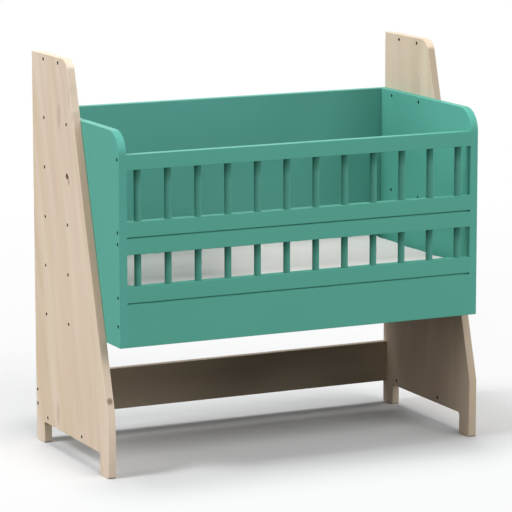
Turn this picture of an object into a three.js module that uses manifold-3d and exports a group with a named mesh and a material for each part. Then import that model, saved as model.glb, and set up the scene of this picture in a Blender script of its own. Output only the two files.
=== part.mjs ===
// Bedside crib. A painted box with two frames of round spindles in its front is bolted between two
// pine uprights, which a stretcher ties together near the floor. Each upright is drilled with rows of
// holes, so the box can be bolted on at other heights. A mattress lies on a loose base board inside.
// Millimetres, +Z up, +Y towards the back. The origin is on the floor, under the middle of the crib.

import * as THREE from 'three';
import { mergeVertices } from 'three/addons/utils/BufferGeometryUtils.js';
import Module from 'manifold-3d';

const wasm = await Module();
wasm.setup();

// Boards and how they meet
const board = 18; // thickness of the uprights, panels and rails
const fitGap = 0.3; // air between pieces that bear on each other
const easedEdge = 1.5; // the edges of each board are broken by this much
const cutOverrun = 2; // how far a cut runs past the face it starts from

// Mattress, and the room that the box leaves round it
const mattressLength = 800;
const mattressDepth = 400;
const mattressHeight = 60; // at its edges
const mattressCrown = 4; // how much higher its middle is
const mattressPull = 3; // how far its sides draw in between the corners
const mattressRound = 12; // radius of its edges
const mattressEndRoom = 10; // free space at each end
const mattressSideRoom = 1; // free space behind it and in front of it

// Front of the box, from its underside upwards
const frontBoardHeight = 91;
const frameSeam = 4; // open slit under each frame
const lowerBottomRailHeight = 35;
const lowerWindow = 68; // clear height between the rails of the lower frame
const lowerTopRailHeight = 33;
const upperRailHeight = 33; // both rails of the upper frame
const upperWindow = 109;
const endPanelRise = 48; // from the top rail up to the top of the end panels
const endPanelRadius = 50; // top front corner of each end panel

// Spindles
const spindleCount = 12;
const spindleDiameter = 15;
const spindleEndInset = 27.5; // from an end panel to the middle of the first spindle
const tenonDiameter = 10;
const tenonLength = 12;

// Base board and the frame that carries it
const baseThickness = 12;
const baseRoom = 2; // free space round the base board
const bearerHeight = 25;
const bearerWidth = 25;
const bearerDrop = 49; // from the top of the front board down to the bearer frame
const ventDiameter = 24;
const ventColumns = 8;
const ventRows = 3;
const ventMargin = 70; // from the board's edge to the middle of the outer vents

// Uprights
const uprightRise = 128; // from the top of the box up to the top of the uprights
const uprightFootDepth = 412; // front to back at the floor
const uprightTopDepth = 198.5; // front to back at the top, before the corner is rounded
const uprightTopRadius = 30;
const bendHeight = 130; // where the straight foot turns into the slope
const footWidth = 47;
const footHeight = 47.5; // height of the cut-out between the feet
const footInnerRadius = 6;
const footTipRadius = 5;

// Stretcher
const stretcherHeight = 94;
const stretcherLift = 52; // from the floor to its lower edge
const boxAboveStretcher = 140; // clear height between the stretcher and the box

// Holes in the uprights. The box hangs on the first and the third row.
const holeDiameter = 7;
const holeRearInset = 67.5; // from the rear edge to the rear hole of each row
const rowSpacing = 129; // from the rear hole to the front hole of a row
const rowCount = 5;
const rowPitch = 109;
const rowsUsed = [0, 2];
const boxTopAboveRow = 12; // from the first row up to the top of the box
const topPairDrop = 12;
const topPairSpacing = 84;
const bottomPairHeight = 61;
const bottomPairSpacing = 197;

// Bolts and screws. All have hexagon sockets and sit a little below the surface.
const fastenerDiameter = 6.4;
const fastenerRecess = 1.5;
const socketAcross = 4;
const socketDepth = 3;
const threadDiameter = 5;
const threadLength = 32; // how deep a screw reaches into the end of a rail
const threadHoleDiameter = 5.6;
const stretcherScrewSpacing = 32;

// How finely round shapes are cut
const cornerSteps = 6;
const spindleSides = 12;
const holeSides = 10;
const ventSides = 12;
const socketSides = 6;
const mattressSteps = [16, 10, 4];

// Sizes that follow
const innerLength = mattressLength + 2 * mattressEndRoom;
const innerDepth = mattressDepth + 2 * mattressSideRoom;
const boxDepth = innerDepth + 2 * board;
const betweenPanels = innerLength - 2 * fitGap; // length of what fits between the end panels
const panelOuterX = innerLength / 2 + board;
const uprightInnerX = panelOuterX + fitGap;
const uprightOuterX = uprightInnerX + board;
const frontMiddle = boxDepth - board / 2; // from the back to the middle of the rails
const spindlePitch = (innerLength - 2 * spindleEndInset) / (spindleCount - 1);
const overallDepth = Math.max(boxDepth, uprightFootDepth);

// Heights in the box, measured from its underside
const lowerBottomRail = frontBoardHeight + frameSeam;
const lowerTopRail = lowerBottomRail + lowerBottomRailHeight + lowerWindow;
const upperBottomRail = lowerTopRail + lowerTopRailHeight + frameSeam;
const upperTopRail = upperBottomRail + upperRailHeight + upperWindow;
const boxHeight = upperTopRail + upperRailHeight + endPanelRise;
const bearerTop = frontBoardHeight - bearerDrop;
const baseTop = bearerTop + fitGap + baseThickness;

// Heights above the floor
const boxBottom = stretcherLift + stretcherHeight + boxAboveStretcher;
const boxTop = boxBottom + boxHeight;
const firstRowHeight = boxTop - boxTopAboveRow;
const uprightHeight = boxTop + uprightRise;

const fronts = [
  frontAt('upper_frame_top_rail', upperTopRail, upperRailHeight, 'below'),
  frontAt('upper_frame_bottom_rail', upperBottomRail, upperRailHeight, 'above'),
  frontAt('lower_frame_top_rail', lowerTopRail, lowerTopRailHeight, 'below'),
  frontAt('lower_frame_bottom_rail', lowerBottomRail, lowerBottomRailHeight, 'above'),
  frontAt('front_board', 0, frontBoardHeight, 'none'),
];

// A rail with the side that its spindles stand on, and the height of the screws in its ends. They
// run through the middle of the wood that the tenons leave.
function frontAt(name, bottom, height, sockets) {
  const shift = { above: -tenonLength / 2, below: tenonLength / 2, none: 0 }[sockets];
  return { name, bottom, height, sockets, screw: bottom + height / 2 + shift };
}

// Finishes
const paint = () => new THREE.MeshStandardMaterial({ color: '#58a590', roughness: 0.5, metalness: 0 });
const pine = () => new THREE.MeshStandardMaterial({ color: '#d8c4a4', roughness: 0.6, metalness: 0 });
const birch = () => new THREE.MeshStandardMaterial({ color: '#cdb48c', roughness: 0.7, metalness: 0 });
const ticking = () => new THREE.MeshStandardMaterial({ color: '#d6d6d2', roughness: 0.9, metalness: 0 });
const blackSteel = () => new THREE.MeshStandardMaterial({ color: '#33332f', roughness: 0.5, metalness: 1 });

// A side-on outline is drawn forwards from the back and upwards, and thickens towards -X.
// A front-on outline is drawn to the right and upwards, and thickens towards the front.
const sideOn = new THREE.Matrix4().makeBasis(
  new THREE.Vector3(0, -1, 0),
  new THREE.Vector3(0, 0, 1),
  new THREE.Vector3(-1, 0, 0),
);
const frontOn = new THREE.Matrix4().makeBasis(
  new THREE.Vector3(1, 0, 0),
  new THREE.Vector3(0, 0, 1),
  new THREE.Vector3(0, -1, 0),
);

function solidFrom(geometry) {
  const shell = geometry.clone();
  shell.deleteAttribute('normal');
  shell.deleteAttribute('uv');
  const merged = mergeVertices(shell);
  const vertProperties = new Float32Array(merged.attributes.position.array);
  const triVerts = new Uint32Array(merged.index.array);
  return new wasm.Manifold(new wasm.Mesh({ numProp: 3, vertProperties, triVerts }));
}

function geometryFrom(solid) {
  const { vertProperties, triVerts } = solid.getMesh();
  const geometry = new THREE.BufferGeometry();
  geometry.setAttribute('position', new THREE.BufferAttribute(vertProperties, 3));
  geometry.setIndex(new THREE.BufferAttribute(triVerts, 1));
  geometry.computeVertexNormals();
  return geometry;
}

function cut(geometry, tools) {
  let solid = solidFrom(geometry);
  for (const tool of tools) solid = solid.subtract(solidFrom(tool));
  return geometryFrom(solid);
}

// A board of the given outline, with its edges broken on both faces
function boardOf(outline, thickness) {
  const geometry = new THREE.ExtrudeGeometry(outline, {
    depth: thickness - 2 * easedEdge,
    bevelEnabled: true,
    bevelThickness: easedEdge,
    bevelSize: easedEdge,
    bevelOffset: -easedEdge,
    bevelSegments: 1,
    curveSegments: cornerSteps,
  });
  return geometry.translate(0, 0, easedEdge);
}

function rectangle(left, bottom, width, height) {
  const outline = new THREE.Shape();
  outline.moveTo(left, bottom);
  outline.lineTo(left + width, bottom);
  outline.lineTo(left + width, bottom + height);
  outline.lineTo(left, bottom + height);
  outline.closePath();
  return outline;
}

// An outline through its corners, each rounded by its own radius. A radius of 0 leaves it sharp.
function roundedOutline(corners) {
  const outline = new THREE.Shape();
  corners.forEach(({ at, radius }, i) => {
    if (radius === 0) {
      if (i === 0) outline.moveTo(at.x, at.y);
      else outline.lineTo(at.x, at.y);
      return;
    }
    const before = corners.at(i - 1).at.clone().sub(at).normalize();
    const after = corners[(i + 1) % corners.length].at.clone().sub(at).normalize();
    const halfAngle = before.angleTo(after) / 2;
    const setback = radius / Math.tan(halfAngle);
    const middle = before.clone().add(after).normalize();
    const centre = at.clone().addScaledVector(middle, radius / Math.sin(halfAngle));
    const start = at.clone().addScaledVector(before, setback).sub(centre);
    const end = at.clone().addScaledVector(after, setback).sub(centre);
    const clockwise = before.cross(after) > 0;
    outline.absarc(centre.x, centre.y, radius, start.angle(), end.angle(), clockwise);
  });
  outline.closePath();
  return outline;
}

function corner(x, y, radius = 0) {
  return { at: new THREE.Vector2(x, y), radius };
}

// A round cutter along X, its middle at the given place
function holeAlongX(diameter, length, x, y, z) {
  const cutter = new THREE.CylinderGeometry(diameter / 2, diameter / 2, length, holeSides);
  return cutter.rotateZ(Math.PI / 2).translate(x, y, z);
}

// A round cutter along Z, from one height to another
function holeAlongZ(diameter, x, y, low, high, sides) {
  const cutter = new THREE.CylinderGeometry(diameter / 2, diameter / 2, high - low, sides);
  return cutter.rotateX(Math.PI / 2).translate(x, y, (low + high) / 2);
}

// The pilot holes that the screws of an end panel or an upright run into, at both ends of a board
function pilotHoles(boardLength, y, heights) {
  const depth = threadLength + 2 * fitGap;
  const endX = boardLength / 2;
  return heights.flatMap((z) =>
    [-1, 1].map((side) => {
      const middle = side * (endX - depth / 2 + cutOverrun / 2);
      return holeAlongX(threadHoleDiameter, depth + cutOverrun, middle, y, z);
    }),
  );
}

// Where the holes of an upright are, forwards from its back and up from the floor
function rowHeight(row) {
  return firstRowHeight - row * rowPitch;
}

function pairAt(height, spacing) {
  return [
    [holeRearInset, height],
    [holeRearInset + spacing, height],
  ];
}

function stretcherScrewHeights() {
  const middle = stretcherLift + stretcherHeight / 2;
  return [middle - stretcherScrewSpacing / 2, middle + stretcherScrewSpacing / 2];
}

function uprightHoles() {
  const rows = [...Array(rowCount).keys()].flatMap((row) => pairAt(rowHeight(row), rowSpacing));
  const top = pairAt(uprightHeight - topPairDrop, topPairSpacing);
  const bottom = pairAt(bottomPairHeight, bottomPairSpacing);
  const stretcher = stretcherScrewHeights().map((height) => [board / 2, height]);
  return [...rows, ...top, ...bottom, ...stretcher];
}

function drillSideOn(geometry, holes) {
  const through = board + 2 * cutOverrun;
  return cut(
    geometry,
    holes.map(([forward, up]) => holeAlongX(holeDiameter, through, -board / 2, -forward, up)),
  );
}

// Both uprights have one outline: a straight back, a sloping front and a cut-out between two feet.
function uprightGeometry() {
  const outline = roundedOutline([
    corner(0, 0, footTipRadius),
    corner(footWidth, 0, footTipRadius),
    corner(footWidth, footHeight, footInnerRadius),
    corner(uprightFootDepth - footWidth, footHeight, footInnerRadius),
    corner(uprightFootDepth - footWidth, 0, footTipRadius),
    corner(uprightFootDepth, 0, footTipRadius),
    corner(uprightFootDepth, bendHeight),
    corner(uprightTopDepth, uprightHeight, uprightTopRadius),
    corner(0, uprightHeight),
  ]);
  return drillSideOn(boardOf(outline, board).applyMatrix4(sideOn), uprightHoles());
}

// An end panel stands beside an upright and carries all that crosses the box.
function endPanelGeometry() {
  const outline = roundedOutline([
    corner(0, 0),
    corner(boxDepth, 0),
    corner(boxDepth, boxHeight, endPanelRadius),
    corner(0, boxHeight),
  ]);
  const boltHoles = rowsUsed.flatMap((row) => pairAt(rowHeight(row) - boxBottom, rowSpacing));
  const screwHoles = fronts.map((front) => [frontMiddle, front.screw]);
  return drillSideOn(boardOf(outline, board).applyMatrix4(sideOn), [...boltHoles, ...screwHoles]);
}

function backPanelGeometry() {
  const outline = rectangle(-betweenPanels / 2, 0, betweenPanels, boxHeight);
  return boardOf(outline, board).applyMatrix4(frontOn);
}

function spindleX(index) {
  return -innerLength / 2 + spindleEndInset + index * spindlePitch;
}

// Blind holes for the tenons of the spindles, cut into the rail's upper or lower edge
function tenonSockets(front) {
  const depth = tenonLength + fitGap;
  const diameter = tenonDiameter + 2 * fitGap;
  const fromAbove = front.sockets === 'above';
  const low = fromAbove ? front.height - depth : -cutOverrun;
  const high = fromAbove ? front.height + cutOverrun : depth;
  return [...Array(spindleCount).keys()].map((index) =>
    holeAlongZ(diameter, spindleX(index), -board / 2, low, high, spindleSides),
  );
}

// A rail or board across the front of the box, with its back at y = 0 and its lower edge at z = 0
function frontGeometry(front) {
  const outline = rectangle(-betweenPanels / 2, 0, betweenPanels, front.height);
  const blank = boardOf(outline, board).applyMatrix4(frontOn);
  const pilots = pilotHoles(betweenPanels, -board / 2, [front.screw - front.bottom]);
  const sockets = front.sockets === 'none' ? [] : tenonSockets(front);
  return cut(blank, [...pilots, ...sockets]);
}

// A round spindle with a thinner tenon at each end. Its shoulders stop just short of the rails.
function spindleGeometry(window) {
  const body = spindleDiameter / 2;
  const tenon = tenonDiameter / 2;
  const shoulder = window / 2 - fitGap;
  const end = window / 2 + tenonLength - fitGap;
  const profile = [
    [0, -end],
    [tenon, -end],
    [tenon, -shoulder],
    [body, -shoulder],
    [body, shoulder],
    [tenon, shoulder],
    [tenon, end],
    [0, end],
  ].map(([radius, height]) => new THREE.Vector2(radius, height));
  return new THREE.LatheGeometry(profile, spindleSides).rotateX(Math.PI / 2);
}

function stretcherGeometry() {
  const length = 2 * (uprightInnerX - fitGap);
  const outline = rectangle(-length / 2, 0, length, stretcherHeight);
  const blank = boardOf(outline, board).applyMatrix4(frontOn);
  const heights = stretcherScrewHeights().map((height) => height - stretcherLift);
  return cut(blank, pilotHoles(length, -board / 2, heights));
}

// A ring of four strips, glued into one frame and fixed round the inside of the box
function bearerFrameGeometry() {
  const width = innerDepth - 2 * fitGap;
  const outline = rectangle(-betweenPanels / 2, -width / 2, betweenPanels, width);
  const innerWidth = width - 2 * bearerWidth;
  const innerSpan = betweenPanels - 2 * bearerWidth;
  outline.holes.push(rectangle(-innerSpan / 2, -innerWidth / 2, innerSpan, innerWidth));
  return boardOf(outline, bearerHeight);
}

// A loose board that the mattress lies on, with vents that let it breathe
function baseBoardGeometry() {
  const length = innerLength - 2 * baseRoom;
  const width = innerDepth - 2 * baseRoom;
  const blank = boardOf(rectangle(-length / 2, -width / 2, length, width), baseThickness);
  const columnPitch = (length - 2 * ventMargin) / (ventColumns - 1);
  const rowStep = (width - 2 * ventMargin) / (ventRows - 1);
  const vents = [];
  for (let column = 0; column < ventColumns; column += 1) {
    for (let row = 0; row < ventRows; row += 1) {
      const x = -length / 2 + ventMargin + column * columnPitch;
      const y = -width / 2 + ventMargin + row * rowStep;
      const top = baseThickness + cutOverrun;
      vents.push(holeAlongZ(ventDiameter, x, y, -cutOverrun, top, ventSides));
    }
  }
  return cut(blank, vents);
}

// A foam pad in a cover: rounded edges, a crowned top, a flat underside, and sides that draw in a
// little between the corners
function mattressGeometry() {
  const half = new THREE.Vector3(mattressLength / 2, mattressDepth / 2, mattressHeight / 2);
  const block = new THREE.BoxGeometry(2 * half.x, 2 * half.y, 2 * half.z, ...mattressSteps);
  block.deleteAttribute('normal');
  block.deleteAttribute('uv');
  const geometry = mergeVertices(block);
  const core = half.clone().subScalar(mattressRound);
  const stride = half.clone().add(half).divide(new THREE.Vector3(...mattressSteps));
  const lastLine = half.clone().sub(stride);
  const place = geometry.attributes.position;
  const point = new THREE.Vector3();
  const nearest = new THREE.Vector3();
  for (let i = 0; i < place.count; i += 1) {
    point.fromBufferAttribute(place, i);
    for (const axis of ['x', 'y', 'z']) {
      const inside = Math.abs(point[axis]) < half[axis] - fitGap;
      if (inside) point[axis] *= core[axis] / lastLine[axis];
    }
    nearest.copy(point).clamp(core.clone().negate(), core);
    const reach = point.clone().sub(nearest);
    if (reach.lengthSq() > 0) point.copy(nearest).add(reach.setLength(mattressRound));
    const along = 1 - (point.x / half.x) ** 2;
    const across = 1 - (point.y / half.y) ** 2;
    const up = (1 + point.z / half.z) / 2;
    point.x -= Math.sign(point.x) * mattressPull * across * (point.x / half.x) ** 2;
    point.y -= Math.sign(point.y) * mattressPull * along * (point.y / half.y) ** 2;
    point.z += mattressCrown * up * Math.sqrt(along * across);
    place.setXYZ(i, point.x, point.y, point.z + half.z);
  }
  geometry.computeVertexNormals();
  return geometry;
}

function socketCutter(x) {
  const radius = socketAcross / 2 / Math.cos(Math.PI / socketSides);
  const cutter = new THREE.CylinderGeometry(radius, radius, 2 * socketDepth, socketSides);
  return cutter.rotateZ(Math.PI / 2).translate(x, 0, 0);
}

// A sleeve bolt through an upright and an end panel, with a socket in each end
function boltGeometry() {
  const length = 2 * (board - fastenerRecess) + fitGap;
  const radius = fastenerDiameter / 2;
  const rod = new THREE.CylinderGeometry(radius, radius, length, holeSides).rotateZ(Math.PI / 2);
  return cut(rod, [socketCutter(-length / 2), socketCutter(length / 2)]);
}

// A screw through a board into the end of another: a plain neck, then a thinner threaded part.
// It points to -X, and x = 0 is the face where the two boards meet.
function screwGeometry() {
  const neck = board - fastenerRecess;
  const profile = [
    [0, -threadLength],
    [threadDiameter / 2, -threadLength],
    [threadDiameter / 2, 0],
    [fastenerDiameter / 2, 0],
    [fastenerDiameter / 2, neck],
    [0, neck],
  ].map(([radius, height]) => new THREE.Vector2(radius, height));
  const rod = new THREE.LatheGeometry(profile, holeSides).rotateZ(-Math.PI / 2);
  return cut(rod, [socketCutter(neck)]);
}

function piece(name, geometry, material, x = 0, y = 0, z = 0) {
  const mesh = new THREE.Mesh(geometry, material);
  mesh.name = name;
  mesh.position.set(x, y, z);
  return mesh;
}

const sides = [
  { name: 'left', sign: -1 },
  { name: 'right', sign: 1 },
];

// A fastener made pointing to -X is turned round for the left side.
function onSide(mesh, sign) {
  if (sign < 0) mesh.rotation.z = Math.PI;
  return mesh;
}

function makeStand() {
  const stand = new THREE.Group();
  for (const { name, sign } of sides) {
    const faceX = sign > 0 ? uprightOuterX : -uprightInnerX;
    stand.add(piece(`${name}_upright`, uprightGeometry(), pine(), faceX));
    stretcherScrewHeights().forEach((height, i) => {
      const mesh = piece(
        `stretcher_screw_${name}_${i + 1}`,
        screwGeometry(),
        blackSteel(),
        sign * uprightInnerX,
        -board / 2,
        height,
      );
      stand.add(onSide(mesh, sign));
    });
  }
  stand.add(piece('stretcher', stretcherGeometry(), pine(), 0, 0, stretcherLift));
  return stand;
}

function makeSpindles(frameName, rail, window) {
  const frame = new THREE.Group();
  const middle = rail.bottom + rail.height + window / 2;
  for (let index = 0; index < spindleCount; index += 1) {
    const name = `${frameName}_spindle_${String(index + 1).padStart(2, '0')}`;
    frame.add(piece(name, spindleGeometry(window), paint(), spindleX(index), -frontMiddle, middle));
  }
  return frame;
}

function makeBox() {
  const box = new THREE.Group();
  for (const { name, sign } of sides) {
    const faceX = sign > 0 ? panelOuterX : -innerLength / 2;
    box.add(piece(`${name}_end_panel`, endPanelGeometry(), paint(), faceX));
    fronts.forEach((front, i) => {
      const mesh = piece(
        `rail_screw_${name}_${i + 1}`,
        screwGeometry(),
        blackSteel(),
        (sign * innerLength) / 2,
        -frontMiddle,
        front.screw,
      );
      box.add(onSide(mesh, sign));
    });
  }
  box.add(piece('back_panel', backPanelGeometry(), paint()));
  for (const front of fronts) {
    const backY = -(boxDepth - board);
    box.add(piece(front.name, frontGeometry(front), paint(), 0, backY, front.bottom));
  }
  box.add(makeSpindles('upper', fronts[1], upperWindow));
  box.add(makeSpindles('lower', fronts[3], lowerWindow));
  const bearerY = -boxDepth / 2;
  const bearerBottom = bearerTop - bearerHeight;
  box.add(piece('bearer_frame', bearerFrameGeometry(), paint(), 0, bearerY, bearerBottom));
  box.position.z = boxBottom;
  return box;
}

function makeBolts() {
  const bolts = new THREE.Group();
  const middleX = (uprightOuterX + innerLength / 2) / 2;
  const places = rowsUsed.flatMap((row) => pairAt(rowHeight(row), rowSpacing));
  for (const { name, sign } of sides) {
    places.forEach(([forward, up], i) => {
      const boltName = `box_bolt_${name}_${i + 1}`;
      bolts.add(piece(boltName, boltGeometry(), blackSteel(), sign * middleX, -forward, up));
    });
  }
  return bolts;
}

function makeBed() {
  const bed = new THREE.Group();
  const baseBottom = boxBottom + bearerTop + fitGap;
  const mattressBottom = boxBottom + baseTop + fitGap;
  bed.add(piece('base_board', baseBoardGeometry(), birch(), 0, 0, baseBottom));
  bed.add(piece('mattress', mattressGeometry(), ticking(), 0, 0, mattressBottom));
  bed.position.y = -boxDepth / 2;
  return bed;
}

const crib = new THREE.Group();
crib.add(makeStand(), makeBox(), makeBolts(), makeBed());
crib.position.y = overallDepth / 2;

export default crib;
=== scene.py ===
# Bedside crib. Two pine uprights and a stretcher carry a painted box with two frames of round spindles
# in its front. A mattress lies in the box on a loose base board. The solid parts give every size and
# place; this script finishes each surface. Metres, +Z up, +Y towards the back, +X to the right.

import math

import bmesh
import bpy
from mathutils import Matrix, Vector


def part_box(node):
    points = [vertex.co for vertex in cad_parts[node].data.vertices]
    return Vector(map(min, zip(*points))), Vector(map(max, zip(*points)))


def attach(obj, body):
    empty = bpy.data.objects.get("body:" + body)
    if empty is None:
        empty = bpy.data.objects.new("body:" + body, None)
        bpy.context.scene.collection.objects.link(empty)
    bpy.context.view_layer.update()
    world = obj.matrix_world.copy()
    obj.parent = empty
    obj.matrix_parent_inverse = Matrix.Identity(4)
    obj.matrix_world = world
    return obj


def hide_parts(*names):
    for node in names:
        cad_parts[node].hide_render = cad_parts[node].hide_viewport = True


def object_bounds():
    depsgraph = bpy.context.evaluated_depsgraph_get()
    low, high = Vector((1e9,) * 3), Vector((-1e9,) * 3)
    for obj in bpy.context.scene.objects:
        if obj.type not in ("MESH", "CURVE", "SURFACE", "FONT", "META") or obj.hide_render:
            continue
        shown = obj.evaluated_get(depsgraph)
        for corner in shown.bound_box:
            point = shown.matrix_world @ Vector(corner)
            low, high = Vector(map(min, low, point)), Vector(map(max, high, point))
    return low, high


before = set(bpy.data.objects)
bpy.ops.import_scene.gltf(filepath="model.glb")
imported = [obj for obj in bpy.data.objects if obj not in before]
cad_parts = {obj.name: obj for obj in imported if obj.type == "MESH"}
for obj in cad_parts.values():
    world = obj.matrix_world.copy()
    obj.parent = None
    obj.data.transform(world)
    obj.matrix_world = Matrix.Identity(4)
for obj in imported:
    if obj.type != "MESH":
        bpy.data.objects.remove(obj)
cad_box = [list(corner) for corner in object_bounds()]

# Uprights. Each is a pine board, glued up from staves and sawn to one outline: a straight back, a
# sloping front, a rounded top corner and a cut-out between two feet. The edges are broken by sanding,
# and rows of holes are drilled through, so that the box can be bolted on at other heights.

mm = 0.001
eased_edge = 1.5 * mm
upright_top_depth = 198.5 * mm
upright_top_radius = 30 * mm
bend_height = 130 * mm
foot_width = 47 * mm
foot_height = 47.5 * mm
foot_inner_radius = 6 * mm
foot_tip_radius = 5 * mm
hole_diameter = 7 * mm
hole_rear_inset = 67.5 * mm
row_spacing = 129 * mm
row_pitch = 109 * mm
row_count = 5
box_top_above_row = 12 * mm
top_pair_drop = 12 * mm
top_pair_spacing = 84 * mm
bottom_pair_height = 61 * mm
bottom_pair_spacing = 197 * mm
edge_steps = 3
corner_steps = 12
hole_steps = 32
sharp_angle = math.radians(35)  # sandpaper breaks the edges that are sharper than this
crease_angle = math.radians(40)  # sharper edges are shaded as edges, and the rest as one surface
weld_distance = 0.01 * mm


def side_board(node, corners, reach=0):
    """A board in the place of a CAD node, with the same outline all along X. Each corner of the outline
    is a distance forwards from its back, a height above its lower edge, and the radius that rounds it.
    Both ends reach that much further than the node's."""
    low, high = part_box(node)
    bm = bmesh.new()
    left = low.x - reach
    outline = [bm.verts.new((left, high.y - forward, low.z + up)) for forward, up, _ in corners]
    face = bm.faces.new(outline)
    grown = bmesh.ops.extrude_face_region(bm, geom=[face])["geom"]
    far_side = [item for item in grown if isinstance(item, bmesh.types.BMVert)]
    bmesh.ops.translate(bm, verts=far_side, vec=(high.x + reach - left, 0, 0))
    bmesh.ops.recalc_face_normals(bm, faces=bm.faces)
    rounded = []
    for i, (_, _, radius) in enumerate(corners):
        here = outline[i].co
        before = outline[i - 1].co - here
        after = outline[(i + 1) % len(corners)].co - here
        across = max(outline[i].link_edges, key=lambda edge: abs(edge.other_vert(outline[i]).co.x - here.x))
        if radius > 0:
            rounded.append((across, radius / math.tan(before.angle(after) / 2)))
    for edge, setback in rounded:
        bevel(bm, [edge], setback, corner_steps)
    return bm


def bevel(bm, edges, offset, segments):
    """Rounds edges off with a circular profile."""
    bmesh.ops.bevel(
        bm,
        geom=edges,
        offset=offset,
        offset_type="OFFSET",
        segments=segments,
        profile=0.5,
        affect="EDGES",
        clamp_overlap=True,
        material=-1,
    )


def ease(bm, kept=()):
    """Breaks every sharp edge but the kept ones, as sandpaper does."""
    sharp = [edge for edge in bm.edges if edge.calc_face_angle(0) > sharp_angle]
    bevel(bm, [edge for edge in sharp if edge not in kept], eased_edge, edge_steps)


def spun(bm, start, towards, profile, steps):
    """Adds the solid that a profile makes when it is spun round the line from one point towards
    another. The profile is pairs of a radius and a distance along that line, from axis to axis."""
    axis = (Vector(towards) - Vector(start)).normalized()
    outwards = axis.orthogonal().normalized()
    verts = [bm.verts.new(Vector(start) + axis * along + outwards * radius) for radius, along in profile]
    edges = [bm.edges.new(pair) for pair in zip(verts, verts[1:])]
    bmesh.ops.spin(
        bm,
        geom=verts + edges,
        cent=start,
        axis=axis,
        angle=2 * math.pi,
        steps=steps,
        use_merge=True,
    )
    bmesh.ops.remove_doubles(bm, verts=bm.verts, dist=weld_distance)
    bmesh.ops.recalc_face_normals(bm, faces=bm.faces)


def drill(bm, holes, diameter, countersink=0.4 * mm, blind=False):
    """Bores a hole along each pair of points. The first lies on the face where the drill enters, and
    the second on the face where it leaves or, in a blind hole, at the bottom of the hole."""
    overrun = 2 * mm
    radius = diameter / 2
    cutters = bmesh.new()
    for entry, end in holes:
        depth = (Vector(end) - Vector(entry)).length
        profile = [(0, -overrun), (radius + countersink, -overrun), (radius + countersink, 0)]
        profile.append((radius, countersink))
        if blind:
            profile += [(radius, depth), (0, depth)]
        else:
            profile += [(radius, depth - countersink), (radius + countersink, depth)]
            profile += [(radius + countersink, depth + overrun), (0, depth + overrun)]
        spun(cutters, entry, end, profile, hole_steps)
    return cut_away(bm, cutters)


def new_object(name, bm):
    """Puts an object of this shape into the scene."""
    mesh = bpy.data.meshes.new(name)
    bm.to_mesh(mesh)
    bm.free()
    made = bpy.data.objects.new(name, mesh)
    bpy.context.scene.collection.objects.link(made)
    return made


def cut_away(bm, cutters):
    """The shape that is left when the cutters are taken out of it."""
    blank = new_object("blank", bm)
    tools = new_object("cutters", cutters)
    cut = blank.modifiers.new("cut", "BOOLEAN")
    cut.operation = "DIFFERENCE"
    cut.solver = "EXACT"
    cut.object = tools
    left = bmesh.new()
    left.from_object(blank, bpy.context.evaluated_depsgraph_get())
    bpy.data.objects.remove(blank)
    bpy.data.objects.remove(tools)
    return left


def finish(name, bm, material, body, slot, *nodes):
    """Makes the piece that stands for its CAD nodes, in its material, and sets it on its body."""
    for face in bm.faces:
        face.smooth = True
    for edge in bm.edges:
        edge.smooth = edge.calc_face_angle(0) < crease_angle
    piece = new_object(name, bm)
    piece.data.materials.append(material)
    flat_faces = piece.modifiers.new("flat_faces", "WEIGHTED_NORMAL")
    flat_faces.keep_sharp = True
    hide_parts(*nodes)
    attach(piece, body)
    return piece


def linear(colour):
    """An sRGB hex colour as the linear one that a shader takes."""
    shares = [int(colour[i : i + 2], 16) / 255 for i in (1, 3, 5)]
    return [c / 12.92 if c <= 0.04045 else ((c + 0.055) / 1.055) ** 2.4 for c in shares] + [1]


def link(tree, source, target):
    """Links a node's output, or one of its sockets, to a socket."""
    if isinstance(source, bpy.types.Node):
        source = next(socket for socket in source.outputs if socket.enabled)
    tree.links.new(source, target)


def add(tree, kind, inputs, **settings):
    """Adds a node with its settings. Each input is a value, or a node or socket to link to it."""
    node = tree.nodes.new("ShaderNode" + kind)
    for name, value in settings.items():
        setattr(node, name, value)
    usable = [socket for socket in node.inputs if socket.enabled]
    for key, value in inputs.items():
        named = [socket for socket in usable if socket.name == key]
        target = usable[key] if isinstance(key, int) else named[0]
        if isinstance(value, (bpy.types.Node, bpy.types.NodeSocket)):
            link(tree, value, target)
        else:
            target.default_value = value
    return node


def new_material(name, **shader_settings):
    """A material whose shader has these constants. Gives the material, its tree and its shader."""
    material = bpy.data.materials.new(name)
    material.use_nodes = True
    shader = material.node_tree.nodes["Principled BSDF"]
    for socket, value in shader_settings.items():
        shader.inputs[socket.replace("_", " ")].default_value = value
    return material, material.node_tree, shader


# Planed pine under a matt oil. The eye sees wide, soft bands of cream, straw and pink along the
# board, narrow growth rings that bow round the knots, fine fibres, and darker grain on the ends.
pine_late_wood = "#C9AC8C"
# painted shade for the faces that look forwards and backwards
pine_front_shade = "#B8A893"
pine_knot = "#73503A"
# a tint painted against the green light that the end panel throws on the front and back beside it
pine_against_green_light = "#F0C5B0"
red_fade = 45 * mm
pine_band = (44 * mm, 44 * mm, 520 * mm)  # how wide, deep and long a band of one tone is
pine_streak = (30 * mm, 30 * mm, 300 * mm)
pine_fibre = (0.8 * mm, 0.8 * mm, 45 * mm)
pine_drift = (90 * mm, 90 * mm, 320 * mm)  # size of the slow waves in the grain
pine_ring = 3.6 * mm  # one year's growth, drawn a little coarse so that it shows
pine_sway = (30 * mm, 30 * mm, 0)
knot_reach = 5  # the grain bows round a knot out to this many times its radius
knot_pull = 0.55  # at the knot, as a share of the way to its middle
wave_turns = 20  # a Wave texture turns by this many radians for each unit of its scale


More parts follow.
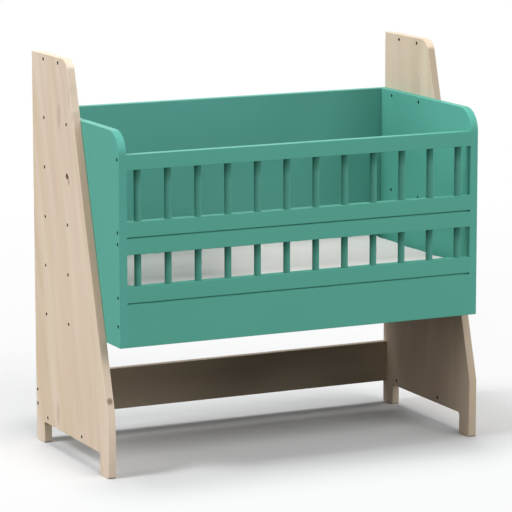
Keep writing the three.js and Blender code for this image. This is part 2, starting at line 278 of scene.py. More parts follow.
def pine(name, middle, turn, pith, sapwood, knots, tones, front_shade_share, green_light_heights=None):
    """Pine whose grain runs along Z, turned as given round the middle of the board. pith is where the
    heart of the tree lies from there, and sapwood how far backwards the wood has become its palest. A
    knot is a place, its three radii and how dark it is. tones are this tree's straw, cream and pink,
    then comes how much painted shade darkens the faces that look forwards and backwards, and last the
    heights between which those faces take a redder tint, painted against the green light of the box."""
    straw, cream, pink = [linear(colour) for colour in tones]
    material, tree, shader = new_material(name, IOR=1.5, Specular_IOR_Level=0.15)
    place = add(tree, "TexCoord", {}).outputs["Object"]
    facing = add(tree, "TexCoord", {}).outputs["Normal"]

    # Knots, and the grain that has grown round them.
    grown = place
    knot_dark = None
    for at, radii, darkness in knots:
        near = add(
            tree, "Mapping", {"Vector": place, "Location": at, "Scale": radii}, vector_type="TEXTURE"
        )
        reach = add(tree, "VectorMath", {0: near}, operation="LENGTH").outputs["Value"]
        pull = add(
            tree,
            "MapRange",
            {"Value": reach, "From Max": knot_reach, "To Min": knot_pull, "To Max": 0},
            interpolation_type="SMOOTHERSTEP",
        )
        away = add(tree, "VectorMath", {0: place, 1: at}, operation="SUBTRACT")
        bow = add(tree, "VectorMath", {0: away, "Scale": pull}, operation="SCALE")
        grown = add(tree, "VectorMath", {0: grown, 1: bow}, operation="SUBTRACT")
        core = add(
            tree,
            "MapRange",
            {"Value": reach, "From Min": 0.6, "From Max": 1.5, "To Min": darkness, "To Max": 0},
            interpolation_type="SMOOTHSTEP",
        )
        if knot_dark is None:
            knot_dark = core
        else:
            knot_dark = add(tree, "Math", {0: knot_dark, 1: core}, operation="MAXIMUM")

    # The tree's own direction and its slow waves.
    wood = add(
        tree, "Mapping", {"Vector": grown, "Location": middle, "Rotation": turn}, vector_type="TEXTURE"
    )
    slow = add(tree, "Mapping", {"Vector": wood, "Scale": pine_drift}, vector_type="TEXTURE")
    waves = add(tree, "TexNoise", {"Vector": slow, "Scale": 1, "Detail": 1}).outputs["Color"]
    sway = add(tree, "VectorMath", {0: waves, 1: pine_sway}, operation="MULTIPLY")
    grain = add(tree, "VectorMath", {0: wood, 1: sway}, operation="ADD")

    # Bands of straw, cream and pink, which fade to cream in the sapwood.
    band_place = add(tree, "Mapping", {"Vector": grain, "Scale": pine_band}, vector_type="TEXTURE")
    bands = add(tree, "TexNoise", {"Vector": band_place, "Scale": 1, "Detail": 1, "Roughness": 0.2})
    band_contrast = add(tree, "MapRange", {"Value": bands, "From Min": 0.3, "From Max": 0.7})
    tone = add(tree, "Mix", {"Factor": band_contrast, "A": straw, "B": cream}, data_type="RGBA")
    blush_shift = add(tree, "VectorMath", {0: band_place, 1: (7, 3, 11)}, operation="ADD")
    blush = add(tree, "TexNoise", {"Vector": blush_shift, "Scale": 0.9, "Detail": 1, "Roughness": 0.3})
    blush_share = add(
        tree, "MapRange", {"Value": blush, "From Min": 0.45, "From Max": 0.7, "To Max": 0.7}
    )
    tone = add(tree, "Mix", {"Factor": blush_share, "A": tone, "B": pink}, data_type="RGBA")
    depth = add(tree, "SeparateXYZ", {0: grain}).outputs["Y"]
    pale = add(tree, "MapRange", {"Value": depth, "From Max": sapwood, "To Max": 0.7})
    tone = add(tree, "Mix", {"Factor": pale, "A": tone, "B": cream}, data_type="RGBA")

    # Painted shade on the front and back, and a redder tint there painted against the box's green light.
    if front_shade_share > 0:
        forwards = add(tree, "SeparateXYZ", {0: facing}).outputs["Y"]
        forwards = add(tree, "Math", {0: forwards}, operation="ABSOLUTE")
        sawn = add(
            tree, "MapRange", {"Value": forwards, "From Min": 0.85, "From Max": 0.95, "To Max": front_shade_share}
        )
        tone = add(tree, "Mix", {"Factor": sawn, "A": tone, "B": linear(pine_front_shade)}, data_type="RGBA")
    # A redder tint beside the box, painted against the green light that the end panel throws there.
    if green_light_heights:
        height = add(tree, "SeparateXYZ", {0: place}).outputs["Z"]
        off_middle = add(tree, "Math", {0: height, 1: sum(green_light_heights) / 2}, operation="SUBTRACT")
        off_middle = add(tree, "Math", {0: off_middle}, operation="ABSOLUTE")
        half = (green_light_heights[1] - green_light_heights[0]) / 2
        red = add(
            tree,
            "MapRange",
            {"Value": off_middle, "From Min": half, "From Max": half - red_fade},
            interpolation_type="SMOOTHSTEP",
        )
        red = add(tree, "Math", {0: red, 1: sawn}, operation="MULTIPLY")
        red = add(tree, "Math", {0: red, 1: 1 / front_shade_share}, operation="MULTIPLY")
        tone = add(tree, "Mix", {"Factor": red, "A": tone, "B": linear(pine_against_green_light)}, data_type="RGBA")

    # Growth rings, streaks, fibres and end grain, which all darken the tone a little.
    heart = add(tree, "VectorMath", {0: grain, 1: pith}, operation="SUBTRACT")
    rings = add(
        tree,
        "TexWave",
        {
            "Vector": heart,
            "Scale": 2 * math.pi / wave_turns / pine_ring,
            "Distortion": 3,
            "Detail": 2,
            "Detail Scale": 0.3,
        },
        wave_type="RINGS",
        rings_direction="Z",
        wave_profile="SAW",
    ).outputs["Fac"]
    streak_place = add(tree, "Mapping", {"Vector": grain, "Scale": pine_streak}, vector_type="TEXTURE")
    streaks = add(tree, "TexNoise", {"Vector": streak_place, "Scale": 1, "Detail": 1, "Roughness": 0.4})
    fibre_place = add(tree, "Mapping", {"Vector": grain, "Scale": pine_fibre}, vector_type="TEXTURE")
    fibres = add(tree, "TexNoise", {"Vector": fibre_place, "Scale": 1, "Detail": 2})
    ring_line = add(tree, "MapRange", {"Value": rings, "From Min": 0.55, "To Max": 0.007})
    streak_line = add(
        tree, "MapRange", {"Value": streaks, "From Min": 0.48, "From Max": 0.85, "To Max": 0.3}
    )
    fibre_line = add(
        tree, "MapRange", {"Value": fibres, "From Min": 0.4, "From Max": 0.75, "To Max": 0.05}
    )
    lines = add(tree, "Math", {0: ring_line, 1: streak_line}, operation="ADD")
    lines = add(tree, "Math", {0: lines, 1: fibre_line}, operation="ADD")
    facing_grain = add(tree, "Mapping", {"Vector": facing, "Rotation": turn}, vector_type="TEXTURE")
    end_share = add(tree, "SeparateXYZ", {0: facing_grain}).outputs["Z"]
    end_share = add(tree, "Math", {0: end_share}, operation="ABSOLUTE")
    end_grain = add(
        tree, "MapRange", {"Value": end_share, "From Min": 0.6, "From Max": 0.95, "To Max": 0.06}
    )
    lines = add(tree, "Math", {0: lines, 1: end_grain}, operation="ADD", use_clamp=True)
    colour = add(
        tree, "Mix", {"Factor": lines, "A": tone, "B": linear(pine_late_wood)}, data_type="RGBA"
    )
    if knot_dark is not None:
        colour = add(
            tree, "Mix", {"Factor": knot_dark, "A": colour, "B": linear(pine_knot)}, data_type="RGBA"
        )
    link(tree, colour, shader.inputs["Base Color"])

    # The fibres also break the sheen of the oil.
    roughness = add(
        tree,
        "MapRange",
        {"Value": fibres, "From Min": 0.3, "From Max": 0.7, "To Min": 0.56, "To Max": 0.68},
    )
    link(tree, roughness, shader.inputs["Roughness"])
    relief = add(tree, "Bump", {"Height": fibres, "Strength": 0.35, "Distance": 0.08 * mm})
    link(tree, relief, shader.inputs["Normal"])
    return material


box_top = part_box("left_end_panel")[1].z
upright_low, upright_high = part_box("left_upright")
upright_depth = upright_high.y - upright_low.y
upright_height = upright_high.z - upright_low.z
back_y = upright_high.y


def pair_at(height, spacing):
    """Two holes side by side, as distances forwards from the back and a height."""
    return [(hole_rear_inset, height), (hole_rear_inset + spacing, height)]


upright_holes = [
    hole
    for row in range(row_count)
    for hole in pair_at(box_top - box_top_above_row - row * row_pitch, row_spacing)
]
upright_holes += pair_at(upright_height - top_pair_drop, top_pair_spacing)
upright_holes += pair_at(bottom_pair_height, bottom_pair_spacing)
for number in (1, 2):
    screw_low, screw_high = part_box(f"stretcher_screw_left_{number}")
    upright_holes.append((back_y - (screw_low.y + screw_high.y) / 2, (screw_low.z + screw_high.z) / 2))

upright_corners = [
    (0, 0, foot_tip_radius),
    (foot_width, 0, foot_tip_radius),
    (foot_width, foot_height, foot_inner_radius),
    (upright_depth - foot_width, foot_height, foot_inner_radius),
    (upright_depth - foot_width, 0, foot_tip_radius),
    (upright_depth, 0, foot_tip_radius),
    (upright_depth, bend_height, 0),
    (upright_top_depth, upright_height, upright_top_radius),
    (0, upright_height, 0),
]


def knot(node, forward, up, radii, darkness):
    """A knot of an upright, at a distance forwards from its back and a height above the floor."""
    low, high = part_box(node)
    return ((low.x + high.x) / 2, high.y - forward, up), radii, darkness


through = 400 * mm  # a knot that shows on both faces of a board
grain_lean = math.radians(-15)  # on the left upright the grain leans with the sloping front
left_pine = pine(
    "oiled_pine_left",
    middle=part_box("left_upright")[0] + Vector((0, 250 * mm, 500 * mm)),
    turn=(grain_lean, 0, 0),
    pith=(70 * mm, -40 * mm, 0),
    sapwood=-220 * mm,
    knots=[
        knot("left_upright", 199 * mm, 619 * mm, (through, 8 * mm, 5 * mm), 1.0),
        knot("left_upright", 207 * mm, 610 * mm, (through, 4 * mm, 7 * mm), 0.5),
        knot("left_upright", 155 * mm, 746 * mm, (through, 8 * mm, 26 * mm), 0.2),
        knot("left_upright", 130 * mm, 84 * mm, (through, 9 * mm, 24 * mm), 0.2),
        knot("left_upright", 214 * mm, 795 * mm, (through, 5 * mm, 20 * mm), 0.1),
        knot("left_upright", 236 * mm, 752 * mm, (12 * mm, 12 * mm, 12 * mm), 0.22),
        knot("left_upright", 404 * mm, 167 * mm, (6 * mm, 8 * mm, 7 * mm), 0.7),
    ],
    tones=("#E9D3B5", "#F6E5D1", "#F0D9C4"),
    front_shade_share=0.35,
    green_light_heights=(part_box("left_end_panel")[0].z - 20 * mm, box_top + 15 * mm),
)
# Its tones are darker than the left upright's: partly the board's own tone, partly painted shade for its
# face under the box.
right_pine = pine(
    "oiled_pine_right",
    middle=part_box("right_upright")[0] + Vector((0, 200 * mm, 400 * mm)),
    turn=(math.radians(3), 0, 0),
    pith=(-80 * mm, 60 * mm, 0),
    sapwood=200 * mm,
    knots=[
        knot("right_upright", 150 * mm, 792 * mm, (through, 3 * mm, 3.5 * mm), 0.2),
        knot("right_upright", 161 * mm, 765 * mm, (through, 3 * mm, 20 * mm), 0.14),
        knot("right_upright", 95 * mm, 480 * mm, (through, 6 * mm, 5 * mm), 0.8),
    ],
    tones=("#D2BEA5", "#E8D6C0", "#D8BFAC"),
    front_shade_share=0.8,
)

# The wall of a drilled hole is end grain. Its dark brown is painted shade, so that the holes show as
# small dark dots, hardly lighter where the fibres are torn.
shaded_pine_bore, tree, shader = new_material("shaded_pine_bore", Roughness=0.7, IOR=1.5)
place = add(tree, "TexCoord", {}).outputs["Object"]
fibre_place = add(tree, "Mapping", {"Vector": place, "Scale": pine_fibre}, vector_type="TEXTURE")
fibres = add(tree, "TexNoise", {"Vector": fibre_place, "Scale": 1, "Detail": 2})
wall = add(
    tree, "Mix", {"Factor": fibres, "A": linear("#3A2E22"), "B": linear("#4E3E2E")}, data_type="RGBA"
)
link(tree, wall, shader.inputs["Base Color"])
wall_reach = 0.53 * hole_diameter  # from a hole's axis, a little past the wall and short of the face


def paint_bore_shade(bm, bored):
    """Gives the walls of the bored holes their board's second material, which is painted shade."""
    for face in bm.faces:
        middle = face.calc_center_median()
        if any((middle - Vector(start)).yz.length < wall_reach for start, _ in bored):
            face.material_index = 1


for side, wood in (("left", left_pine), ("right", right_pine)):
    node = f"{side}_upright"
    low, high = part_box(node)
    bm = side_board(node, upright_corners)
    ease(bm)
    places = [(back_y - forward, up) for forward, up in upright_holes]
    bored = [((low.x, y, z), (high.x, y, z)) for y, z in places]
    bm = drill(bm, bored, hole_diameter)
    paint_bore_shade(bm, bored)
    upright = finish(f"{side}_pine_upright", bm, wood, "crib", "pine", node)
    upright.data.materials.append(shaded_pine_bore)

# Stretcher. A pine board on edge between the uprights, low down and flush with their backs. Its grain
# runs along it, and two screws through each upright hold it.
joint_gap = 0.3 * mm  # what the solid parts leave free between a board's end and what it meets


def plank(node, reach=joint_gap):
    """A straight board in the place of a CAD node, with square edges. Both ends reach a little further,
    so that they are tight in their joints."""
    low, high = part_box(node)
    size = high - low + Vector((2 * reach, 0, 0))
    bm = bmesh.new()
    place = Matrix.Translation((low + high) / 2) @ Matrix.Diagonal((*size, 1))
    bmesh.ops.create_cube(bm, size=1, matrix=place)
    return bm


def screw_places(pattern):
    """The middles, forwards and up, of the screws that are named by a pattern."""
    names = sorted(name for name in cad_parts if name.startswith(pattern))
    return [(sum(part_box(name), Vector()) / 2).yz for name in names]


pilot_diameter = 5.6 * mm
pilot_depth = 33 * mm


def pilot_holes(node, places):
    """Blind holes for screws, into both ends of a board."""
    low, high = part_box(node)
    left = [((low.x, y, z), (low.x + pilot_depth, y, z)) for y, z in places]
    right = [((high.x, y, z), (high.x - pilot_depth, y, z)) for y, z in places]
    return left + right


# Its tones are darker than the uprights': painted shade, as it stands in the shadow of the box.
shaded_stretcher_pine = pine(
    "oiled_pine_stretcher_shaded",
    middle=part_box("stretcher")[0] + Vector((300 * mm, 0, 40 * mm)),
    turn=(0, math.radians(90), 0),
    pith=(90 * mm, 50 * mm, 0),
    sapwood=200 * mm,
    knots=[],
    tones=("#C0B29B", "#CABCA8", "#C5B4A2"),
    front_shade_share=0,
)
bm = plank("stretcher")
ease(bm)
bm = drill(bm, pilot_holes("stretcher", screw_places("stretcher_screw_left")), pilot_diameter, blind=True)
finish("pine_stretcher", bm, shaded_stretcher_pine, "crib", "pine", "stretcher")

# Screws of the stretcher. Steel, cold formed, with a hexagon socket, and blackened by a hot oxide
# bath. The heads sit a little below the face of the upright, so from outside they look like holes.
head_diameter = 6.4 * mm
head_length = 16.5 * mm
thread_diameter = 5 * mm
thread_core_diameter = 3.6 * mm
thread_pitch = 2 * mm
socket_across = 4 * mm
socket_depth = 3 * mm
head_rim = 0.5 * mm
screw_steps = 24


def cut_sockets(bm, mouths):
    """Sinks a hexagon socket into each mouth, which is a point and the direction into the metal."""
    cutters = bmesh.new()
    radius = socket_across / math.sqrt(3)
    for mouth, inwards in mouths:
        turn = Vector(inwards).to_track_quat("Z", "Y").to_matrix().to_4x4()
        bmesh.ops.create_cone(
            cutters,
            cap_ends=True,
            segments=6,
            radius1=radius,
            radius2=radius,
            depth=2 * socket_depth,
            matrix=Matrix.Translation(mouth) @ turn,
        )
    return cut_away(bm, cutters)


def screw(node):
    """A socket screw in the place of a CAD node, with its head towards the outside of the crib."""
    low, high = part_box(node)
    middle = (low + high) / 2
    outwards = 1 if middle.x > 0 else -1
    face = Vector((high.x if outwards > 0 else low.x, middle.y, middle.z))
    inwards = Vector((-outwards, 0, 0))
    length = high.x - low.x
    head, crest, core = head_diameter / 2, thread_diameter / 2, thread_core_diameter / 2
    profile = [(0, 0), (head - head_rim, 0), (head, head_rim), (head, head_length)]
    profile.append((core, head_length + head_rim))
    along = head_length + thread_pitch
    while along < length - thread_pitch:
        profile += [(core, along - thread_pitch / 4), (crest, along), (core, along + thread_pitch / 4)]
        along += thread_pitch
    profile.append((0, length))
    bm = bmesh.new()
    spun(bm, face, face + inwards, profile, screw_steps)
    return cut_sockets(bm, [(face, inwards)])


# Black oxide over steel gives a soft, nearly black sheen, with a faint mottle from the bath.
oxide_mottle = 1.5 * mm
black_steel, tree, shader = new_material("black_oxide_steel", Metallic=1)
place = add(tree, "TexCoord", {}).outputs["Object"]
mottle = add(tree, "TexNoise", {"Vector": place, "Scale": 1 / oxide_mottle, "Detail": 2})
shade = add(
    tree,
    "Mix",
    {"Factor": mottle, "A": linear("#1D1C1A"), "B": linear("#34322E")},
    data_type="RGBA",
)
link(tree, shade, shader.inputs["Base Color"])
wear = add(
    tree,
    "MapRange",
    {"Value": mottle, "From Min": 0.3, "From Max": 0.7, "To Min": 0.4, "To Max": 0.6},
)
link(tree, wear, shader.inputs["Roughness"])

for side in ("left", "right"):
    for number in (1, 2):
        node = f"stretcher_screw_{side}_{number}"
        finish(f"socket_{node}", screw(node), black_steel, "crib", "black_steel", node)

# End panels of the box. Solid boards with a rounded top front corner, sprayed with a satin paint. The
# bolts to the uprights and the screws into the rails pass through them.
end_panel_radius = 50 * mm
rows_used = (0, 2)  # the rows of the uprights' holes that carry the box, from the top

# Satin paint on a sanded board. The eye sees one even sea green, with a soft sheen, the very fine
# orange peel that a spray gun leaves, and hardly any change of tone. Darker copies are painted shade.
orange_peel = 1.6 * mm
paint_cloud = 160 * mm


def satin_paint(name, green, shade, painted_shadows=(), painted_shadow_colour=None):
    """Satin paint in a colour that drifts to its shade. Below each given height it has a painted shadow in
    a deeper colour, which fades out over the distance given with that height."""
    material, tree, shader = new_material(name, IOR=1.5, Specular_IOR_Level=0.12)
    place = add(tree, "TexCoord", {}).outputs["Object"]
    cloud = add(tree, "TexNoise", {"Vector": place, "Scale": 1 / paint_cloud, "Detail": 3})
    coat = add(tree, "Mix", {"Factor": cloud, "A": linear(green), "B": linear(shade)}, data_type="RGBA")
    height = add(tree, "SeparateXYZ", {0: place}).outputs["Z"]
    # A painted shadow below each given height.
    for top, run in painted_shadows:
        below = add(tree, "Math", {0: height, 1: top}, operation="LESS_THAN")
        shadow_share = add(
            tree,
            "MapRange",
            {"Value": height, "From Min": top - run, "From Max": top},
            interpolation_type="SMOOTHSTEP",
        )
        shadow_share = add(tree, "Math", {0: shadow_share, 1: below}, operation="MULTIPLY")
        coat = add(
            tree, "Mix", {"Factor": shadow_share, "A": coat, "B": linear(painted_shadow_colour)}, data_type="RGBA"
        )
    link(tree, coat, shader.inputs["Base Color"])
    peel = add(tree, "TexNoise", {"Vector": place, "Scale": 1 / orange_peel, "Detail": 2})
    gloss = add(
        tree,
        "MapRange",
        {"Value": peel, "From Min": 0.3, "From Max": 0.7, "To Min": 0.5, "To Max": 0.6},
    )
    link(tree, gloss, shader.inputs["Roughness"])
    relief = add(tree, "Bump", {"Height": peel, "Strength": 0.25, "Distance": 0.03 * mm})
    link(tree, relief, shader.inputs["Normal"])
    return material


board_paint = satin_paint("satin_sea_green_paint", "#60B29F", "#5CAE9B")
end_paint = satin_paint("satin_sea_green_on_ends", "#61B3A3", "#5DAF9F")
# Dark green for the walls of the holes and the screw heads in them: painted shade in the holes.
shaded_hole_paint = satin_paint("satin_sea_green_shaded_holes", "#2A6B5C", "#286657")

panel_low, panel_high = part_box("left_end_panel")
panel_depth = panel_high.y - panel_low.y
panel_height = panel_high.z - panel_low.z
bolt_places = [
    (back_y - forward, up)
    for row in rows_used
    for forward, up in pair_at(box_top - box_top_above_row - row * row_pitch, row_spacing)
]
for side in ("left", "right"):
    node = f"{side}_end_panel"
    low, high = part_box(node)
    bm = side_board(
        node,
        [
            (0, 0, 0),
            (panel_depth, 0, 0),
            (panel_depth, panel_height, end_panel_radius),
            (0, panel_height, 0),
        ],
    )
    # The front edge that meets the rails stays square, so that the joint is tight.
    joint_corner = Vector((low.x if side == "right" else high.x, low.y))
    at_joint = {vert for vert in bm.verts if (vert.co.xy - joint_corner).length < mm}
    ease(bm, [edge for edge in bm.edges if at_joint.issuperset(edge.verts)])
    places = bolt_places + screw_places(f"rail_screw_{side}")
    bored = [((low.x, y, z), (high.x, y, z)) for y, z in places]
    bm = drill(bm, bored, hole_diameter)
    paint_bore_shade(bm, bored)
    end = finish(f"{side}_painted_end", bm, end_paint, "crib", "paint", node)
    end.data.materials.append(shaded_hole_paint)

# Back panel. A plain painted board between the end panels, as high as they are. It is glued and
# dowelled to them, so nothing shows. Its inner face has a darker copy of the paint, as painted shade.
shaded_inner_paint = satin_paint("satin_sea_green_shaded_inside", "#5DA699", "#59A195")
bm = plank("back_panel")
ease(bm)
# The inner face, which looks forwards, takes the darker copy as painted shade.
for face in bm.faces:
    face.material_index = int(face.normal.y < -0.5)
back = finish("painted_back", bm, board_paint, "crib", "paint", "back_panel")
back.data.materials.append(shaded_inner_paint)

# Rails and front board. Painted boards between the end panels. Each end takes a screw, and the rails
# have blind holes for the tenons of the spindles. Behind each open seam, both boards carry a lip that
# closes it to a thin shadow. The ends are left square, and the long edges eased.
tenon_hole_diameter = 10.6 * mm
tenon_hole_depth = 12.3 * mm
spindle_count = 12
rail_edge = 1 * mm
rail_edge_steps = 2
seam_depth = 4 * mm  # from the front to the lips
seam_lip = 1.8 * mm
lip_below = ("upper_frame_bottom_rail", "lower_frame_bottom_rail")
lip_above = ("lower_frame_top_rail", "front_board")
front_pieces = {
    "upper_frame_top_rail": ("upper", "below"),
    "upper_frame_bottom_rail": ("upper", "above"),
    "lower_frame_top_rail": ("lower", "below"),
    "lower_frame_bottom_rail": ("lower", "above"),
    "front_board": (None, None),
}
for number, (node, (spindle_frame, spindle_side)) in enumerate(front_pieces.items(), 1):
    low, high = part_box(node)
    depth = high.y - low.y
    height = high.z - low.z
    step = depth - seam_depth
    lower = [(0, 0, 0), (depth, 0, 0)]
    upper = [(depth, height, 0), (0, height, 0)]
    if node in lip_below:
        lower = [(0, -seam_lip, 0), (step, -seam_lip, 0), (step, 0, 0), (depth, 0, 0)]
    if node in lip_above:
        lip_top = height + seam_lip
        upper = [(depth, height, 0), (step, height, 0), (step, lip_top, 0), (0, lip_top, 0)]
    bm = side_board(node, lower + upper, joint_gap)
    along = [edge for edge in bm.edges if edge.verts[0].co.yz == edge.verts[1].co.yz]
    sharp = [edge for edge in along if edge.is_convex and edge.calc_face_angle(0) > sharp_angle]
    bevel(bm, sharp, rail_edge, rail_edge_steps)
    pilots = pilot_holes(node, screw_places(f"rail_screw_left_{number}"))
    bm = drill(bm, pilots, pilot_diameter, blind=True)
    if spindle_frame:
        mouth = high.z if spindle_side == "above" else low.z
        into = -1 if spindle_side == "above" else 1
        bottom = mouth + into * tenon_hole_depth
        holes = []
        for index in range(1, spindle_count + 1):
            x, y, _ = sum(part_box(f"{spindle_frame}_spindle_{index:02}"), Vector()) / 2
            holes.append(((x, y, mouth), (x, y, bottom)))
        bm = drill(bm, holes, tenon_hole_diameter, blind=True)
    finish(f"painted_{node}", bm, board_paint, "crib", "paint", node)

# Spindles. Round rods, turned from beech, with a thinner tenon at each end that is glued into the
# rails, and painted with the rest. The shoulders are broken so that the paint holds on them. The rods
# have a darker copy of the paint as painted shade, and a painted shadow of the rail above at their tops.
tenon_length = 12 * mm
tenon_radius = 5 * mm
spindle_radius = 7.5 * mm
shoulder_round = 0.6 * mm
spindle_steps = 40
shaded_rod_paint = satin_paint(
    "satin_sea_green_shaded_rods",
    green="#569D8D",
    shade="#529989",
    painted_shadows=[(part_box(f"{rails}_frame_top_rail")[0].z, 40 * mm) for rails in ("upper", "lower")],
    painted_shadow_colour="#347060",
)
for spindle_frame in ("upper", "lower"):
    for index in range(1, spindle_count + 1):
        node = f"{spindle_frame}_spindle_{index:02}"
        low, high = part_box(node)
        middle = (low + high) / 2
        foot = Vector((middle.x, middle.y, low.z))
        length = high.z - low.z
        half = [
            (0, 0),
            (tenon_radius - shoulder_round, 0),
            (tenon_radius, shoulder_round),
            (tenon_radius, tenon_length),
            (spindle_radius - shoulder_round, tenon_length),
            (spindle_radius - shoulder_round / 4, tenon_length + shoulder_round / 4),
            (spindle_radius, tenon_length + shoulder_round),
        ]
        profile = half + [(radius, length - along) for radius, along in reversed(half)]
        bm = bmesh.new()
        spun(bm, foot, foot + Vector((0, 0, 1)), profile, spindle_steps)
        finish(f"turned_{node}", bm, shaded_rod_paint, "crib", "paint", node)

# Rail screws. The same black socket screws as in the stretcher, one through an end panel into each
# end of the rails and of the front board. Their heads have the dark green of the painted hole shade.
shaded_head_reach = 1.1 * socket_depth
for side in ("left", "right"):
    for number in range(1, len(front_pieces) + 1):
        node = f"rail_screw_{side}_{number}"
        low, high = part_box(node)
        outer_end = low.x if side == "left" else high.x
        bm = screw(node)
        # The outer end of each head takes the painted shade of the hole.
        for face in bm.faces:
            if abs(face.calc_center_median().x - outer_end) < shaded_head_reach:
                face.material_index = 1
        rail_screw = finish(f"socket_{node}", bm, black_steel, "crib", "black_steel", node)
        rail_screw.data.materials.append(shaded_hole_paint)

# Bearer frame. Four painted strips, glued into a ring and screwed round the inside of the box under
# the base board. The base board rests on it.
bearer_width = 25 * mm
low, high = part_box("bearer_frame")
bm = bmesh.new()
place = Matrix.Translation((0, (low.y + high.y) / 2, low.z))
place @= Matrix.Diagonal(((high.x - low.x) / 2, (high.y - low.y) / 2, 1, 1))
bmesh.ops.create_grid(bm, x_segments=1, y_segments=1, size=1, matrix=place)
bmesh.ops.inset_region(
    bm, faces=bm.faces, thickness=bearer_width, use_boundary=True, use_even_offset=True
)
middle_face = min(bm.faces, key=lambda face: face.calc_center_median().xy.length)
bmesh.ops.delete(bm, geom=[middle_face], context="FACES")
grown = bmesh.ops.extrude_face_region(bm, geom=bm.faces[:])["geom"]
raised = [item for item in grown if isinstance(item, bmesh.types.BMVert)]
bmesh.ops.translate(bm, verts=raised, vec=(0, 0, high.z - low.z))
bmesh.ops.recalc_face_normals(bm, faces=bm.faces)
ease(bm)
finish("painted_bearers", bm, board_paint, "crib", "paint", "bearer_frame")

# Box bolts. Black steel sleeve bolts through an upright and an end panel, four on each side. They
# have a hexagon socket in both ends, so the box can be moved to other rows of holes.
for side in ("left", "right"):
    for number in range(1, len(bolt_places) + 1):
        node = f"box_bolt_{side}_{number}"
        low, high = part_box(node)
        middle = (low + high) / 2
        radius = head_diameter / 2
        length = high.x - low.x
        left_end = Vector((low.x, middle.y, middle.z))
        right_end = Vector((high.x, middle.y, middle.z))
        bm = bmesh.new()
        profile = [(0, 0), (radius - head_rim, 0), (radius, head_rim)]
        profile += [(radius, length - head_rim), (radius - head_rim, length), (0, length)]
        spun(bm, left_end, right_end, profile, screw_steps)
        bm = cut_sockets(bm, [(left_end, (1, 0, 0)), (right_end, (-1, 0, 0))])
        finish(f"sleeve_{node}", bm, black_steel, "crib", "black_steel", node)

# Base board. A loose sheet of birch plywood under the mattress, with rows of round vents that let it
# breathe. It lies on the bearer frame and lifts out.
vent_diameter = 24 * mm
vent_columns = 8
vent_rows = 3
vent_margin = 70 * mm
vent_countersink = 1.2 * mm

# Birch plywood, sanded and unfinished. The eye sees a pale, almost plain face with faint long
# figure, and on the sawn edges the thin light and dark layers.
birch_face = "#DEC8A2"
birch_figure = "#D3BA90"
birch_layer_dark = "#B0905F"
birch_layer = 1.5 * mm
birch_figure_size = (150 * mm, 9 * mm, 9 * mm)
birch_ply, tree, shader = new_material(
    "sanded_birch_plywood", Roughness=0.7, IOR=1.5, Specular_IOR_Level=0.3
)
coordinates = add(tree, "TexCoord", {})
place = coordinates.outputs["Object"]
figure_place = add(tree, "Mapping", {"Vector": place, "Scale": birch_figure_size}, vector_type="TEXTURE")
figure = add(tree, "TexNoise", {"Vector": figure_place, "Scale": 1, "Detail": 4, "Distortion": 0.4})
face_tone = add(
    tree,
    "Mix",
    {"Factor": figure, "A": linear(birch_face), "B": linear(birch_figure)},
    data_type="RGBA",
)
height = add(tree, "SeparateXYZ", {0: place}).outputs["Z"]
layer_count = add(tree, "Math", {0: height, 1: birch_layer}, operation="DIVIDE")
layer_turn = add(tree, "Math", {0: layer_count, 1: 2.0}, operation="MODULO")
dark_layer = add(tree, "Math", {0: layer_turn, 1: 1.0}, operation="GREATER_THAN")
edge_tone = add(
    tree,
    "Mix",
    {"Factor": dark_layer, "A": linear(birch_face), "B": linear(birch_layer_dark)},
    data_type="RGBA",
)
upward = add(tree, "SeparateXYZ", {0: coordinates.outputs["Normal"]}).outputs["Z"]
on_face = add(tree, "Math", {0: upward}, operation="ABSOLUTE")
on_face = add(tree, "Math", {0: on_face, 1: 0.8}, operation="GREATER_THAN")
ply_tone = add(tree, "Mix", {"Factor": on_face, "A": edge_tone, "B": face_tone}, data_type="RGBA")
link(tree, ply_tone, shader.inputs["Base Color"])
relief = add(tree, "Bump", {"Height": figure, "Strength": 0.2, "Distance": 0.1 * mm})
link(tree, relief, shader.inputs["Normal"])

low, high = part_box("base_board")
bm = plank("base_board", reach=0)
ease(bm)
column_pitch = (high.x - low.x - 2 * vent_margin) / (vent_columns - 1)
row_step = (high.y - low.y - 2 * vent_margin) / (vent_rows - 1)
vents = []
for column in range(vent_columns):
    for row in range(vent_rows):
        x = low.x + vent_margin + column * column_pitch
        y = low.y + vent_margin + row * row_step
        vents.append(((x, y, low.z), (x, y, high.z)))
bm = drill(bm, vents, vent_diameter, vent_countersink)
finish("vented_base", bm, birch_ply, "base", "birch_ply", "base_board")

# Mattress. A foam pad in a plain off-white cotton cover, sewn as a boxed cushion: a top and a bottom
# cloth with a border between them. The foam swells the cover, and the sides pull in between corners.
mattress_shrink = Vector((0, 3 * mm, 4 * mm))  # the cover before the foam fills it, on each side
mattress_round = 12 * mm
mattress_round_steps = 4
remesh_size = 6 * mm
swell_limit = 9 * mm
side_play = 0.5 * mm  # the sewn cover is this much smaller on each side than the solid pad
top_swell = 4 * mm
seam_height = 11 * mm  # from the lower and the upper face to the seams of the border
stitch_width = 5 * mm
stitch_depth = 1.4 * mm
cloth_frames = 20

